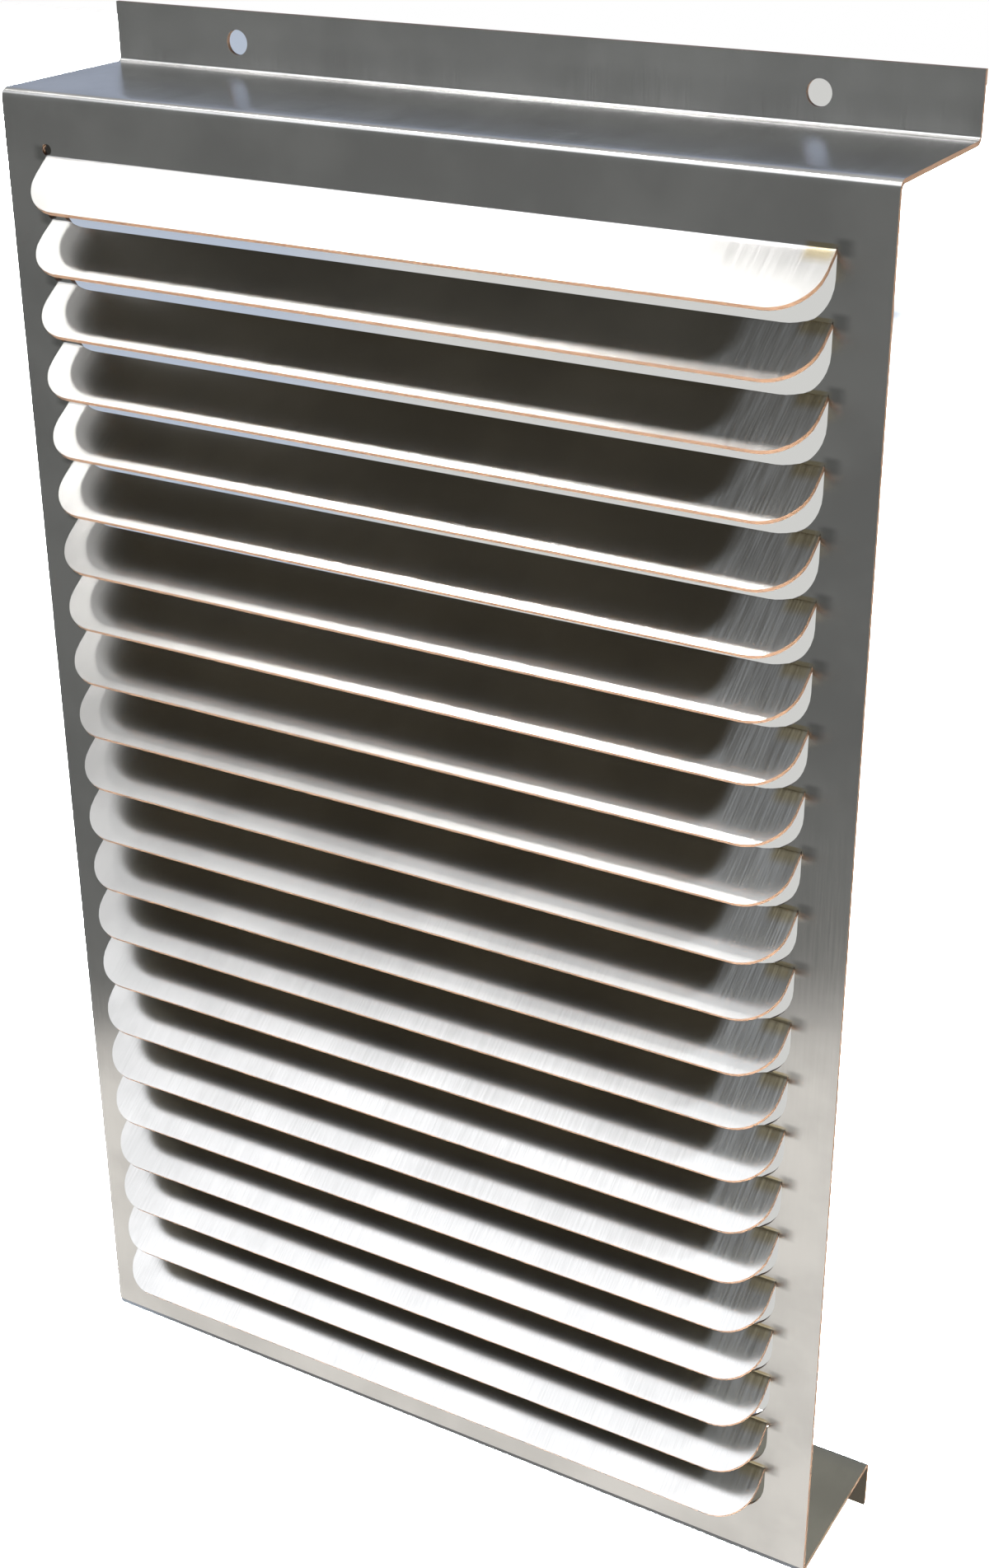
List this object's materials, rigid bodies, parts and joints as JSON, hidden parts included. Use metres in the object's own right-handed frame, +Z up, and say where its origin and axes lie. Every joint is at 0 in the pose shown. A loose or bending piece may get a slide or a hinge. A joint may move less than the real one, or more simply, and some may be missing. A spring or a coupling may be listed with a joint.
{
  "type": "louvred sheet metal panel",
  "caption": "Folded sheet metal vent panel with a full face of cut and bent louvres, ledges and fixing flanges.",
  "frame": {"origin": "midway between the two screw holes in the top flange, in the wall plane that the flange backs lie on", "axes": "+Z up the panel, +Y into the wall, so the louvred face looks along -Y, and +X to the right seen from the front"},
  "size_m": [0.3, 0.0795, 0.518],
  "materials": {
    "sheet": "satin stainless sheet with a fine upright grain"
  },
  "bodies": {
    "root": {"louvred_panel": "sheet"}
  },
  "joints": []
}
